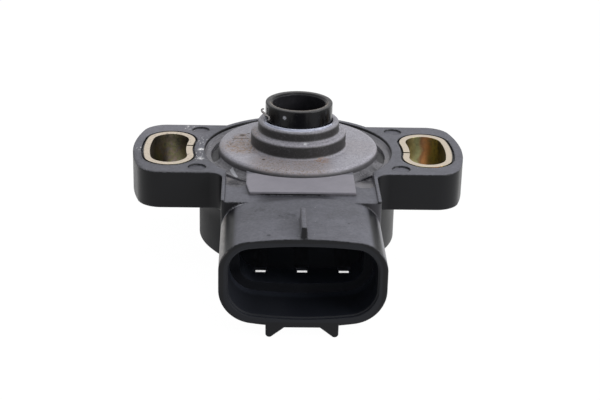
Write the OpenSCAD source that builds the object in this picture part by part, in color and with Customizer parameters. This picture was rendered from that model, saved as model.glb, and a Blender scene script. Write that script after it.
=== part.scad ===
// Throttle position sensor: a rotary sensor that bolts to a throttle body by two ears.
// The origin is on the rotor axis in the plane of the mounting ears, +Z is towards the throttle body
// and the connector points along -Y. Lengths are in millimetres, angles in degrees.

/* [Mounting ears] */
// Distance from the rotor axis to the end of each ear
ear_reach = 27; // [26.5:0.5:31]
// Depth of the ears, back to front
ear_depth = 22; // [21:0.5:25]
// Thickness of the ears, and length of their sleeves
ear_t = 6; // [4.5:0.5:8]
// Corner radius of the ears, seen from above
ear_corner_r = 4; // [2:0.5:6]
// Fillet between an ear and the neck of the connector
neck_fillet_r = 2; // [1:0.25:3]
// Distance from the end of each ear to the middle of its slot
slot_inset = 5.7; // [5.4:0.1:6.2]
// Width of the slot inside its sleeve
slot_w = 5.9; // [5.3:0.1:6.3]
// Angle that each slot swings to either side of its middle
slot_swing = 9.6; // [6:0.2:11]
// Thickness of the rolled sheet of the sleeves
sleeve_t = 1.05; // [0.6:0.05:1.2]
// Width of the open seam in a sleeve
seam_w = 0.45; // [0.2:0.05:0.8]
// Angle of the seam from the middle of the slot
seam_angle = 3.5; // [-6:0.5:6]
// Width of the relief in the plastic round the end of a sleeve
relief_w = 0.35; // [0.2:0.05:0.5]
// Depth of that relief
relief_d = 0.6; // [0.3:0.1:1.2]
// Radius of the ejector pin marks on the ears
ejector_r = 1.47; // [1:0.1:1.7]
// Depth of the ejector pin marks
ejector_d = 0.3; // [0.1:0.05:0.6]
// Distance of the ejector pin marks from the rotor axis, sideways
ejector_x = 16.25; // [15.9:0.05:16.5]
// Distance of the ejector pin marks from the rotor axis, back to front
ejector_y = 8.6; // [8.5:0.05:8.9]

/* [Case] */
// Radius of the round case
case_r = 16.2; // [15.9:0.1:17.5]
// Height of the case below the plane of the ears
case_h = 14.8; // [14.4:0.2:19]
// Width of the rim round the front recess
rim_w = 0.8; // [0.6:0.1:1.2]
// Depth of the front recess
recess_d = 1; // [0.6:0.1:1.5]
// Draft of the wall of the front recess
recess_draft = 0.35; // [0.1:0.05:0.4]
// Width of the sealant groove round the front cover
groove_w = 1.2; // [0.8:0.05:1.25]
// Thickness of the lip between the sealant groove and a pocket
lip_t = 0.3; // [0.2:0.05:0.5]
// Width of the ledge that stops the resistor board
board_ledge = 0.9; // [0.6:0.1:1.2]
// Wall of the case round the rear cover
rear_wall = 1.6; // [1.2:0.1:1.7]
// Chamfer round the foot of the case
foot_chamfer = 0.4; // [0.2:0.1:0.8]

/* [Neck and connector] */
// Width of the neck and of the connector shroud
neck_w = 24.3; // [23.8:0.1:25.5]
// Distance from the rotor axis to the front wall of the neck
neck_reach = 22.3; // [21.8:0.1:25]
// Height of the neck below the plane of the ears
neck_h = 13.3; // [13.1:0.1:13.5]
// Width of the raised border along each side of the neck
border_w = 0.55; // [0.4:0.05:0.8]
// Drop from the plane of the ears to the ledge on the neck
ledge_drop = 0.25; // [0.15:0.05:0.5]
// Width of the flat raised pad in front of the cover
pad_w = 16.8; // [14:0.2:17.4]
// Distance from the rotor axis to the front edge of the pad
pad_reach = 19.5; // [18:0.1:20.5]
// Rise of the pad above the plane of the ears
pad_rise = 0.3; // [0.1:0.05:0.5]
// Depth of the two pockets beside the pad
pocket_d = 1.5; // [1.4:0.1:3]
// Depth of the pockets at their front wall
pocket_end_d = 0.9; // [0.5:0.1:1.3]
// Distance from the rotor axis to the front wall of the pockets
pocket_reach = 16.2; // [15.6:0.1:17]
// Height of the top of the shroud above the plane of the ears
shroud_top = 0.25; // [0:0.05:0.4]
// Height of the shroud, without the latch fins
shroud_h = 13.9; // [13.4:0.1:14.6]
// Length of the shroud in front of the neck
shroud_len = 14.5; // [13:0.5:18]
// Corner radius at the top of the shroud
shroud_top_r = 4.6; // [4:0.1:5.4]
// Corner radius at the bottom of the shroud
shroud_bottom_r = 5.35; // [4.5:0.05:5.6]
// Wall of the shroud at its ends
shroud_side_wall = 1.4; // [1.1:0.1:1.8]
// Wall of the shroud at top and bottom
shroud_wall = 1.35; // [0.95:0.1:1.65]
// Depth of the wide front part of the socket
plug_depth = 8.4; // [7:0.2:9.4]
// Depth of the whole socket, to its rear wall
socket_depth = 13.8; // [11.4:0.2:14]
// Step from the wide front part of the socket to the narrow rear part
socket_step = 1.5; // [1:0.1:2]
// Height of the rib on top of the shroud
rib_h = 1.75; // [1:0.05:2.5]
// Length of the rib on top of the shroud
rib_len = 7.3; // [4:0.1:10]
// Width of that rib at its foot
rib_w = 1.05; // [0.8:0.05:1.6]
// Distance from the middle of the shroud to the outer side of each latch fin
fin_x = 5.3; // [4.4:0.1:6.5]
// Depth of the latch fins below the shroud
fin_h = 1.65; // [1.2:0.05:2.5]
// Length of the latch fins
fin_len = 7; // [4:0.5:10]

/* [Terminals] */
// Spacing of the three terminals
terminal_pitch = 6.1; // [5.4:0.1:6.4]
// Width of a terminal blade
blade_w = 2.3; // [1.5:0.1:2.8]
// Thickness of the terminal strip
blade_t = 0.64; // [0.5:0.02:0.8]
// Distance from the mouth of the socket to the tips of the blades
blade_recess = 5.1; // [3:0.1:7]
// Drop from the middle of the socket to the middle of the blades
blade_drop = 0.5; // [0:0.1:1]
// Length of the bevelled tip of a blade
blade_bevel = 1.1; // [0.6:0.1:2]

/* [Front cover] */
// Radius of the front cover
cover_r = 13.05; // [12.6:0.05:13.2]
// Thickness of the pressed sheet of the cover
cover_t = 1; // [0.8:0.05:1.1]
// Height of the cover's flat face above the plane of the ears
cover_top = 0.95; // [0.6:0.05:1.3]
// Depth of the cover's turned-down edge
cover_skirt = 3; // [2.6:0.1:3.4]
// Outer bend radius at the edge of the cover
cover_bend_r = 0.85; // [0.5:0.05:1]
// Radius of the lower collar, the pilot of the sensor
pilot_r = 7.75; // [7.65:0.05:8.4]
// Height of the lower collar above the cover's flat face
pilot_h = 2.45; // [2.3:0.05:3.2]
// Height of the upper collar above the lower one
collar_h = 1.85; // [1.2:0.05:2.4]
// Running gap between the rotor and the upper collar
collar_gap = 0.15; // [0.1:0.01:0.25]

/* [Rotor] */
// Outer radius of the rotor's tube
rotor_r = 5.45; // [5.3:0.05:5.5]
// Radius of the bore that takes the throttle shaft
rotor_bore_r = 4.3; // [4:0.05:4.5]
// Height of the end of the tube above the plane of the ears
rotor_top = 8.25; // [7.5:0.25:11]
// Depth of the bore
rotor_bore_depth = 10.5; // [9.5:0.25:10.75]
// Depth of the round mouth of the bore, down to its narrower keyed end
key_depth = 6; // [4:0.25:8]
// Step from the mouth of the bore to its keyed end
key_step = 0.3; // [0.2:0.05:0.5]
// Width of a drive key
key_w = 1.5; // [1:0.1:2]
// Reach of a drive key into the keyed end
key_reach = 1.1; // [0.8:0.1:1.7]
// Radial clearance of the rotor in its bush and on its pivot
bearing_gap = 0.05; // [0.02:0.01:0.08]
// Thickness of the rotor's flange
flange_t = 1.4; // [1:0.1:1.8]
// Gap between the flange and the wall of the chamber
flange_gap = 1.4; // [1.2:0.1:1.8]
// Angle that the rotor turns between its stops
rotor_travel = 95; // [60:1:100]
// Angle of the stop lug on the flange
lug_angle = 20; // [14:1:24]

/* [Bearing, seal and spring] */
// Height of the bearing bush
bush_h = 1.7; // [1.4:0.1:1.8]
// Radius of the section of the sealing ring
seal_section_r = 0.58; // [0.5:0.02:0.6]
// Radius of the return spring's coil, at the middle of the wire
spring_r = 7.6; // [7.2:0.1:8]
// Diameter of the spring's wire
spring_wire = 0.7; // [0.5:0.05:0.8]
// Turns of the spring
spring_turns = 3.25; // [2.25:1:3.25]
// Thickness of the thrust washer
washer_t = 0.3; // [0.2:0.05:0.5]
// Radius of the pivot that carries the rotor's lower end
pivot_r = 2; // [1.6:0.1:2.4]
// Length of the pivot inside the rotor
pivot_len = 3.4; // [2.4:0.1:3.6]

/* [Resistor board and rear cover] */
// Thickness of the resistor board
board_t = 1; // [0.8:0.1:1.2]
// Height of the room for the wiper, above the board
wiper_room = 2; // [1.6:0.1:2.2]
// Height of the room for the terminals, behind the board
terminal_room = 1.4; // [1.3:0.05:1.6]
// Thickness of the rear cover
rear_t = 1.6; // [1.2:0.1:1.7]
// Set-back of the rear cover in the case
rear_setback = 0.2; // [0.1:0.1:0.5]
// Width of the sealant bead round the rear cover
rear_bead_w = 0.4; // [0.3:0.05:0.6]
// Radius of the middle of the resistive track
track_r = 8.7; // [8.4:0.05:9]
// Radius of the middle of the collector track
collector_r = 6; // [5.8:0.05:6.3]
// Width of the tracks
track_w = 1.5; // [1.1:0.1:1.6]
// Thickness of the printed tracks
track_t = 0.06; // [0.04:0.01:0.1]
// Thickness of the wiper's sheet
wiper_t = 0.25; // [0.15:0.05:0.3]
// Tangential reach of the wiper's fingers
wiper_reach = 3.6; // [3:0.1:3.8]
// Width of one finger of the wiper
finger_w = 0.25; // [0.2:0.05:0.3]

/* [Hidden] */
$fn = 96;

// Overshoot of every cut past the face that it opens
past = 1;
// Clearance of a piece that drops into its place
drop_gap = 0.1;
// Arcs that run smoothly into their neighbours cross them by this much, because arcs that only touch don't join
hair = 0.005;

// Middle of the slots
slot_r = ear_reach - slot_inset;

// Case and chamber
recess_r = case_r - rim_w;
chamber_r = cover_r - cover_t - 0.05;
skirt_z = cover_top - cover_skirt;
groove_r = cover_r + groove_w;
groove_z = skirt_z + 0.1;
board_r = chamber_r + board_ledge;
rebate_r = case_r - rear_wall;
rear_r = rebate_r - rear_bead_w;

// Stack from the rear face of the case to the rotor
rear_outer_z = rear_setback - case_h;
rear_inner_z = rear_outer_z + rear_t;
board_z = rear_inner_z + terminal_room;
board_top = board_z + board_t;
flange_z = board_top + wiper_room;
flange_top = flange_z + flange_t;
boss_top = flange_z - washer_t;
washer_w = 1.4;
boss_r = pivot_r + washer_w;
pivot_top = boss_top + pivot_len;

// Front cover
pilot_top = cover_top + pilot_h;
collar_top = pilot_top + collar_h;
collar_bore_r = rotor_r + collar_gap;
collar_r = collar_bore_r + cover_t;
bush_seat_r = pilot_r - cover_t;
seat_top = pilot_top - cover_t;
bush_top = seat_top - 2 * seal_section_r - drop_gap;
bush_z = bush_top - bush_h;
edge_r = 0.55;
foot_r = 0.45;

// Rotor and spring
flange_r = chamber_r - flange_gap;
lug_r = chamber_r - 0.4;
stop_r = flange_r + 0.25;
lug_start = 190;
stop_angle = 12;
stop_gap = 0.6;
spring_start = 60;
spring_top_z = skirt_z - spring_wire / 2 - 0.45;
spring_foot_z = flange_top + spring_wire / 2 + 0.3;
spring_end = spring_start + 360 * spring_turns;
leg_bend_r = 0.9;
leg_slot_r = chamber_r + 1.1;
wiper_angle = 20;
peg_r = 0.5;
peg_inset = 0.6;
peg_head_t = 0.3;

// Neck, shroud and socket
mouth_y = -neck_reach - shroud_len;
shroud_foot = shroud_top - shroud_h;
socket_top = shroud_top - shroud_wall;
socket_foot = shroud_foot + shroud_wall;
socket_w = neck_w - 2 * shroud_side_wall;
socket_mid_z = (socket_top + socket_foot) / 2;
corner_wall = 1.1;
lip_w = 0.2;
lip_d = 0.5;
crown_back = 0.8;
fin_root_w = 2.7;
fin_root_d = 0.1;
catch_w = 2.8;

// Where the resistive track begins
track_from = -30;

// Terminals
blade_z = socket_mid_z - blade_drop;
tail_z = board_top + drop_gap + blade_t / 2;
tip_y = mouth_y + blade_recess;
bend_wall = 1.4;
bend_y = -case_r - bend_wall;
prong_inset = 2.9;
prong_y = -chamber_r + prong_inset;
prong_foot = board_z - 0.6;
prong_w = 0.9;
prong_room = [prong_w + 2 * drop_gap, blade_t + 2 * drop_gap];
solder_r = 0.95;

// A ring sector between two angles
module ring_sector(inner_r, outer_r, from, to) {
    steps = ceil((to - from) / 40);
    intersection() {
        difference() {
            circle(r = outer_r);
            circle(r = inner_r);
        }
        polygon([[0, 0], for (i = [0:steps]) let (a = from + (to - from) * i / steps)
            2 * outer_r * [cos(a), sin(a)]]);
    }
}

// The wedge between two directions less than half a turn apart, for cutting arcs to length
module wedge(reach, from, to) {
    polygon([[0, 0], for (a = [from, (from + to) / 2, to]) 3 * reach * [cos(a), sin(a)]]);
}

// One end of a crowned oval: two corner arcs about centres at height 0, and the flat arc that runs into both
module crowned_end(width, corner_r, rise) {
    x = width / 2 - corner_r;
    crown_r = (x * x + pow(corner_r + rise, 2) - pow(corner_r, 2)) / (2 * rise);
    crown_y = corner_r + rise - crown_r;
    for (side = [-1, 1]) translate([side * x, 0]) circle(r = corner_r + hair);
    intersection() {
        translate([0, crown_y]) circle(r = crown_r);
        outward = [x, -crown_y] / norm([x, -crown_y]);
        beyond = [x, 0] + 2 * corner_r * outward;
        inside = [x, 0] - corner_r / 2 * outward;
        polygon([inside, beyond, [-beyond.x, beyond.y], [-inside.x, inside.y]]);
    }
}

// A flat oval with crowned top and bottom
module crowned_oval(width, top, foot, top_r, foot_r, top_rise, foot_rise) {
    upper_y = top - top_r - top_rise;
    lower_y = foot + foot_r + foot_rise;
    translate([0, upper_y]) crowned_end(width, top_r, top_rise);
    translate([0, lower_y]) mirror([0, 1]) crowned_end(width, foot_r, foot_rise);
    translate([-width / 2, lower_y]) square([width, upper_y - lower_y]);
}

// The slot shape: an arc about the rotor axis with round ends
module kidney(half_w) {
    ring_sector(slot_r - half_w, slot_r + half_w, -slot_swing, slot_swing);
    for (side = [-1, 1]) rotate(side * slot_swing) translate([slot_r, 0]) circle(r = half_w + hair);
}

// A block of a revolved profile, with its outer upper corner rounded
module turned_block(inner_r, outer_r, z, top, round_r) {
    translate([inner_r, z]) square([outer_r - inner_r - round_r, top - z]);
    translate([inner_r, z]) square([outer_r - inner_r, top - z - round_r]);
    translate([outer_r - round_r, top - round_r]) circle(r = round_r);
}

// A fillet in the inner corner of a revolved profile
module turned_fillet(at_r, z, fillet_r) {
    translate([at_r, z]) difference() {
        square(fillet_r);
        translate([fillet_r, fillet_r]) circle(r = fillet_r);
    }
}

module ring(inner_r, outer_r, z, top) {
    translate([0, 0, z]) difference() {
        cylinder(r = outer_r, h = top - z);
        translate([0, 0, -past]) cylinder(r = inner_r, h = top - z + 2 * past);
    }
}

// Outline of the two ears: the ends are arcs about the rotor axis, the corners are rounded
module ear_outline() {
    mid_y = ear_depth / 2 - ear_corner_r;
    mid_x = sqrt(pow(ear_reach - ear_corner_r, 2) - pow(mid_y, 2));
    square([2 * mid_x, ear_depth], center = true);
    lean = atan2(mid_y, mid_x);
    for (turn = [0, 180]) rotate(turn) {
        intersection() {
            circle(r = ear_reach);
            wedge(ear_reach, -lean, lean);
        }
        for (end = [-1, 1]) translate([mid_x, end * mid_y]) circle(r = ear_corner_r + hair);
    }
}

module case_body() {
    translate([0, 0, -case_h]) cylinder(r1 = case_r - foot_chamfer, r2 = case_r, h = foot_chamfer);
    translate([0, 0, foot_chamfer - case_h]) cylinder(r = case_r, h = case_h - foot_chamfer);
}

module neck_body() {
    corner = 0.5;
    translate([0, 0, -neck_h]) linear_extrude(neck_h) {
        translate([-neck_w / 2, corner - neck_reach]) square([neck_w, neck_reach - corner]);
        translate([corner - neck_w / 2, -neck_reach]) square([neck_w - 2 * corner, corner]);
        for (side = [-1, 1]) translate([side * (neck_w / 2 - corner), corner - neck_reach]) circle(r = corner);
    }
    for (side = [-1, 1]) translate([side * neck_w / 2, -ear_depth / 2, -ear_t]) linear_extrude(ear_t)
        scale([side, 1]) translate([0, -neck_fillet_r]) difference() {
            translate([-past, 0]) square([neck_fillet_r + past, neck_fillet_r + past]);
            translate([neck_fillet_r, 0]) circle(r = neck_fillet_r);
            translate([neck_fillet_r, -past]) square([past, 3 * past + neck_fillet_r]);
        }
}

// Everything that is cut from the front of the body before the pad and the shroud are added
module front_cuts() {
    translate([0, 0, -recess_d]) cylinder(r1 = recess_r - recess_draft, r2 = recess_r, h = recess_d);
    cylinder(r = recess_r, h = past);
    inner_x = neck_w / 2 - border_w;
    translate([-inner_x, -neck_reach - past, -ledge_drop])
        cube([2 * inner_x, neck_reach + past - case_r / 2, ledge_drop + past]);
    for (side = [0, 1]) mirror([side, 0, 0]) front_pocket(inner_x);
}

// A pocket beside the pad: a slot with a round end, whose floor rises towards the connector
module front_pocket(outer_x) {
    half_w = (outer_x - pad_w / 2) / 2;
    mid = [(outer_x + pad_w / 2) / 2, half_w - pocket_reach];
    back_y = -case_r / 2;
    difference() {
        intersection() {
            translate([0, 0, -pocket_d]) linear_extrude(pocket_d + past) {
                translate(mid) circle(r = half_w);
                translate([mid.x - half_w, mid.y]) square([2 * half_w, back_y - mid.y]);
            }
            rotate([90, 0, 90]) linear_extrude(case_r) polygon([[back_y, -pocket_d], [back_y, past],
                [-pocket_reach - past, past], [-pocket_reach, -pocket_end_d], [mid.y - half_w, -pocket_end_d]]);
        }
        translate([0, 0, -pocket_d]) cylinder(r = groove_r + lip_t, h = pocket_d - recess_d);
    }
}

// The flat pad in front of the cover, with its front corner eased on one side
module pad_block() {
    ease = 0.5;
    translate([0, 0, groove_z]) linear_extrude(pad_rise - groove_z) difference() {
        polygon([[-pad_w / 2, -cover_r / 2], [-pad_w / 2, ease * 7 - pad_reach], [ease - pad_w / 2, -pad_reach],
            [pad_w / 2, -pad_reach], [pad_w / 2, -cover_r / 2]]);
        circle(r = cover_r + groove_w / 2);
    }
}

function tangent_point(from, mid, r) =
    let (v = from - mid, a = atan2(v.y, v.x) - acos(r / norm(v))) mid + r * [cos(a), sin(a)];

// Section of one latch fin, seen from the front, with a round tip and a sloping inner side
module fin_section() {
    tip_r = 0.55;
    tip_mid = [tip_r - fin_x, shroud_foot - fin_h + tip_r];
    root = [fin_root_w - fin_x, shroud_foot - fin_root_d];
    polygon([[-fin_x, shroud_foot + 1], [-fin_x, tip_mid.y], tip_mid,
        tangent_point(root, tip_mid, tip_r), root, [root.x, shroud_foot + 1]]);
    translate(tip_mid) circle(r = tip_r);
}

// Extrudes a section, drawn as seen from the front, from one place on the Y axis to another
module along_y(back, front) {
    translate([0, back, 0]) rotate([90, 0, 0]) linear_extrude(back - front) children();
}

module shroud_body() {
    along_y(crown_back - neck_reach, mouth_y)
        crowned_oval(neck_w, shroud_top, shroud_foot, shroud_top_r, shroud_bottom_r, 0.5, 0.5);
    along_y(mouth_y + rib_len, mouth_y + 0.15) polygon([[-rib_w / 2, shroud_top - 0.4],
        [0.12 - rib_w / 2, shroud_top + rib_h - 0.15], [0.25 - rib_w / 2, shroud_top + rib_h],
        [rib_w / 2 - 0.25, shroud_top + rib_h], [rib_w / 2 - 0.12, shroud_top + rib_h - 0.15],
        [rib_w / 2, shroud_top - 0.4]]);
    along_y(mouth_y + fin_len, mouth_y) {
        fin_section();
        mirror([1, 0]) fin_section();
        translate([fin_root_w - fin_x, shroud_foot - fin_root_d]) square([2 * (fin_x - fin_root_w), 1]);
    }
    catch_y = mouth_y + fin_len - 1;
    catch_foot = shroud_foot - fin_h + 0.4;
    translate([-catch_w / 2, 0, 0]) rotate([90, 0, 90]) linear_extrude(catch_w)
        polygon([[catch_y - 3.6, shroud_foot - fin_root_d], [catch_y - 0.6, catch_foot], [catch_y, catch_foot],
            [catch_y, shroud_foot + 0.5], [catch_y - 3.6, shroud_foot + 0.5]]);
}

module socket_cuts() {
    mouth_top_r = shroud_top_r - corner_wall;
    mouth_foot_r = shroud_bottom_r - corner_wall;
    along_y(mouth_y + plug_depth, mouth_y - past)
        crowned_oval(socket_w, socket_top, socket_foot, mouth_top_r, mouth_foot_r, 0.4, 0.4);
    along_y(mouth_y + lip_d, mouth_y - past) crowned_oval(socket_w + 2 * lip_w, socket_top + lip_w,
        socket_foot - lip_w, mouth_top_r + lip_w, mouth_foot_r + lip_w, 0.4, 0.4);
    along_y(mouth_y + socket_depth, mouth_y) crowned_oval(socket_w - 2 * socket_step, socket_top - socket_step,
        socket_foot + socket_step, mouth_top_r - socket_step, mouth_foot_r - socket_step, 0.3, 0.3);
}

module ear_cuts() {
    sleeve_half_w = slot_w / 2 + sleeve_t;
    for (turn = [0, 180]) rotate(turn) {
        translate([0, 0, -ear_t - past]) linear_extrude(ear_t + 2 * past) kidney(sleeve_half_w);
        translate([0, 0, -relief_d]) linear_extrude(relief_d + past) kidney(sleeve_half_w + relief_w);
        for (side = [-1, 1]) translate([ejector_x, side * ejector_y, -ejector_d])
            cylinder(r = ejector_r, h = ejector_d + past);
    }
}

// The bores of the case, from the front recess to the rear cover, and the slot for the spring's upper leg
module chamber_cuts() {
    translate([0, 0, board_top]) cylinder(r = chamber_r, h = past - board_top);
    translate([0, 0, skirt_z]) cylinder(r = cover_r, h = past - skirt_z);
    translate([0, 0, groove_z]) difference() {
        cylinder(r = groove_r, h = past - groove_z);
        translate([0, 0, -groove_z]) pad_block();
    }
    translate([0, 0, rear_inner_z]) cylinder(r = board_r + drop_gap, h = board_top - rear_inner_z);
    translate([0, 0, -case_h - past]) cylinder(r = rebate_r, h = rear_inner_z + case_h + past);
    rotate(spring_start) translate([chamber_r / 2, -leg_bend_r - spring_wire / 2 - drop_gap,
        spring_top_z - spring_wire / 2 - drop_gap])
        cube([leg_slot_r - chamber_r / 2, spring_wire + 2 * drop_gap, skirt_z - spring_top_z + spring_wire]);
}

// Hollows under the neck, beside the terminals, which keep the moulding thin
module neck_cores() {
    side_wall = 1.3;
    front_wall = 1.4;
    top_wall = 3.6;
    inner_x = terminal_pitch + blade_w / 2 + 1;
    for (side = [0, 1]) mirror([side, 0, 0]) translate([inner_x, front_wall - neck_reach, -neck_h - past])
        cube([neck_w / 2 - side_wall - inner_x, neck_reach - front_wall - case_r + 1,
            neck_h - top_wall + past]);
}

module stops() {
    lug_end = lug_start + lug_angle + rotor_travel;
    translate([0, 0, flange_z - 0.2]) linear_extrude(flange_t + 0.4) {
        ring_sector(stop_r, chamber_r + 0.3, lug_start - stop_gap - stop_angle, lug_start - stop_gap);
        ring_sector(stop_r, chamber_r + 0.3, lug_end + stop_gap, lug_end + stop_gap + stop_angle);
    }
}

module housing() {
    color("#26262a") {
        difference() {
            union() {
                difference() {
                    union() {
                        translate([0, 0, -ear_t]) linear_extrude(ear_t) ear_outline();
                        case_body();
                        neck_body();
                    }
                    front_cuts();
                }
                pad_block();
                shroud_body();
            }
            ear_cuts();
            chamber_cuts();
            socket_cuts();
            neck_cores();
            for (i = [-1:1]) terminal_strip(i * terminal_pitch);
        }
        stops();
    }
}

// Rolled compression sleeve, drawn on the right and turned half round for the left
module sleeve() {
    color("#d8c9a0") translate([0, 0, -ear_t]) linear_extrude(ear_t) difference() {
        kidney(slot_w / 2 + sleeve_t);
        kidney(slot_w / 2);
        rotate(-seam_angle) translate([slot_r - slot_w / 2 - 2 * sleeve_t, -seam_w / 2])
            square([3 * sleeve_t, seam_w]);
    }
}

module front_cover() {
    color("#8d8b90") rotate_extrude() difference() {
        union() {
            turned_block(0, cover_r, skirt_z, cover_top, cover_bend_r);
            turned_block(0, pilot_r, cover_top - cover_t, pilot_top, edge_r);
            turned_block(0, collar_r, pilot_top - cover_t, collar_top, edge_r);
            turned_fillet(pilot_r, cover_top, foot_r);
            turned_fillet(collar_r, pilot_top, foot_r);
        }
        translate([0, skirt_z - past]) square([cover_r - cover_t, cover_skirt - cover_t + past]);
        translate([0, skirt_z]) square([bush_seat_r, seat_top - skirt_z]);
        translate([0, skirt_z]) square([collar_bore_r, collar_top - skirt_z + past]);
    }
}

// Sealing compound in the groove: low at the back, up to the floor of the recess at the front
module cover_sealant() {
    front_from = 180 + 15;
    front_to = 360 - 15;
    level = -recess_d - 0.05;
    climb = 0.75;
    color("#1a1a1c") difference() {
        union() {
            ring(cover_r, groove_r, groove_z, groove_z + 0.35);
            intersection() {
                rotate_extrude() polygon([[cover_r, groove_z], [groove_r, groove_z], [groove_r, level],
                    [cover_r + 0.7, level + 0.1], [cover_r + 0.3, level + climb / 2],
                    [cover_r, level + climb]]);
                translate([0, 0, groove_z]) linear_extrude(-groove_z)
                    ring_sector(cover_r - 1, groove_r + 1, front_from, front_to);
            }
        }
        pad_block();
    }
}

module bearing_bush() {
    inner_r = rotor_r + bearing_gap;
    chamfer = 0.2;
    color("#9a7440") rotate_extrude() polygon([[inner_r, bush_z + chamfer], [inner_r + chamfer, bush_z],
        [bush_seat_r - chamfer, bush_z], [bush_seat_r, bush_z + chamfer], [bush_seat_r, bush_top - chamfer],
        [bush_seat_r - chamfer, bush_top], [inner_r + chamfer, bush_top], [inner_r, bush_top - chamfer]]);
}

module shaft_seal() {
    color("#151516") rotate_extrude()
        translate([rotor_r + bearing_gap + seal_section_r, bush_top + seal_section_r + drop_gap / 2])
            circle(r = seal_section_r);
}

// Tube, shoulder, flange, stop lug, spring post and the two drive keys in the bore
module rotor() {
    shoulder_r = rotor_r + 0.7;
    tip_round = 0.2;
    entry = 0.35;
    root = 0.3;
    key_gap = 0.5;
    post_w = 1.2;
    post_gap = 0.05;
    keyed_r = rotor_bore_r - key_step;
    bore_z = rotor_top - rotor_bore_depth;
    color("#121214") {
        difference() {
            union() {
                rotate_extrude() {
                    turned_block(0, rotor_r, flange_z, rotor_top, tip_round);
                    turned_block(0, shoulder_r, flange_z, bush_z - 0.15, tip_round);
                    turned_block(0, flange_r, flange_z, flange_top, tip_round);
                }
                translate([0, 0, flange_z]) linear_extrude(flange_t)
                    ring_sector(flange_r / 2, lug_r, lug_start, lug_start + lug_angle);
                rotate(spring_end) translate([spring_r + 1.4, leg_bend_r - spring_wire / 2 - post_w - post_gap,
                    flange_top - root]) cube([post_w, post_w, spring_foot_z + spring_wire - flange_top + root]);
                for (r = [collector_r, track_r]) {
                    peg(r, flange_z - wiper_t, flange_z + flange_t / 2, peg_r);
                    peg(r, flange_z - wiper_t - peg_head_t, flange_z - wiper_t, 1.5 * peg_r);
                }
            }
            translate([0, 0, bore_z]) cylinder(r = keyed_r, h = rotor_bore_depth + past);
            translate([0, 0, rotor_top - key_depth]) cylinder(r = rotor_bore_r, h = key_depth + past);
            translate([0, 0, rotor_top - entry])
                cylinder(r1 = rotor_bore_r, r2 = rotor_bore_r + 2 * entry, h = 2 * entry);
            translate([0, 0, flange_z - past])
                cylinder(r = pivot_r + bearing_gap, h = pivot_top + 0.3 - flange_z + past);
        }
        for (turn = [90, 270]) rotate(turn) translate([0, 0, bore_z - root])
            linear_extrude(rotor_bore_depth - key_depth - key_gap + root) intersection() {
                ring_sector(keyed_r - key_reach, keyed_r + root, -60, 60);
                translate([0, -key_w / 2]) square([2 * keyed_r, key_w]);
            }
    }
}

// A peg under the flange that holds the wiper, or its riveted head
module peg(track_at, z, top, r) {
    rotate(wiper_angle) translate([track_at - peg_inset, 0, z]) cylinder(r = r, h = top - z, $fn = 32);
}

module thrust_washer() {
    color("#c9c9cc") ring(pivot_r + 0.15, boss_r, boss_top, flange_z);
}

// Centre line of the return spring: upper leg, coil and lower leg
function out(a) = [cos(a), sin(a), 0];
function along(a) = [-sin(a), cos(a), 0];
function spring_path() = let (
    top = [0, 0, spring_top_z],
    foot = [0, 0, spring_foot_z],
    steps = round(spring_turns * 24),
    first = spring_start,
    last = spring_end,
    bend = spring_r + leg_bend_r
) [
    top + (leg_slot_r - 0.4) * out(first) - leg_bend_r * along(first),
    for (b = [0:30:60]) top + bend * out(first) - leg_bend_r * (cos(b) * along(first) + sin(b) * out(first)),
    for (i = [0:steps]) let (a = first + (last - first) * i / steps)
        spring_r * out(a) + top + (foot - top) * i / steps,
    for (b = [30:30:90]) foot + bend * out(last) + leg_bend_r * (sin(b) * along(last) - cos(b) * out(last)),
    foot + (spring_r + 2.5) * out(last) + leg_bend_r * along(last)
];

// A round wire swept along a path that never runs straight up
module wire(path, d) {
    sides = 8;
    last = len(path) - 1;
    points = [for (i = [0:last]) let (
        t = path[min(i + 1, last)] - path[max(i - 1, 0)],
        side = cross(t, [0, 0, 1]) / norm(cross(t, [0, 0, 1])),
        up = cross(side, t) / norm(t)
    ) for (k = [0:sides - 1]) path[i] + d / 2 * (cos(360 * k / sides) * side + sin(360 * k / sides) * up)];
    faces = [
        [for (k = [0:sides - 1]) k],
        for (i = [0:last - 1], k = [0:sides - 1]) let (n = (k + 1) % sides)
            [i * sides + k, (i + 1) * sides + k, (i + 1) * sides + n, i * sides + n],
        [for (k = [sides - 1:-1:0]) last * sides + k]
    ];
    polyhedron(points, faces, convexity = 10);
}

module return_spring() {
    color("#b9bcc2") wire(spring_path(), spring_wire);
}

// Sheet wiper under the flange: a base with two arms, each with three fingers bent down to a track
module wiper() {
    contact_gap = 0.02;
    tip_z = board_top + track_t + contact_gap;
    base_z = flange_z - wiper_t;
    root_y = wiper_reach / 4;
    base_from = collector_r - track_w;
    base_to = track_r + 0.4 * track_w;
    color("#c9a35a") rotate(wiper_angle) difference() {
        union() {
            translate([base_from, -root_y, base_z]) cube([base_to - base_from, 2 * root_y, wiper_t]);
            for (r = [collector_r, track_r], i = [-1:1])
                let (x = sqrt(r * r - wiper_reach * wiper_reach) + 1.5 * finger_w * i)
                translate([x - finger_w / 2, 0, 0]) rotate([90, 0, 90]) linear_extrude(finger_w)
                    polygon([[0, base_z], [0, base_z + wiper_t], [1.1 * root_y, base_z + wiper_t],
                        [wiper_reach, tip_z + 1.2 * wiper_t], [1.1 * wiper_reach, tip_z + 1.6 * wiper_t],
                        [1.12 * wiper_reach, tip_z + 0.7 * wiper_t], [wiper_reach, tip_z], [root_y, base_z]]);
        }
        for (r = [collector_r, track_r]) translate([r - peg_inset, 0, base_z - past])
            cylinder(r = peg_r, h = wiper_t + 2 * past, $fn = 32);
    }
}

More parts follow.
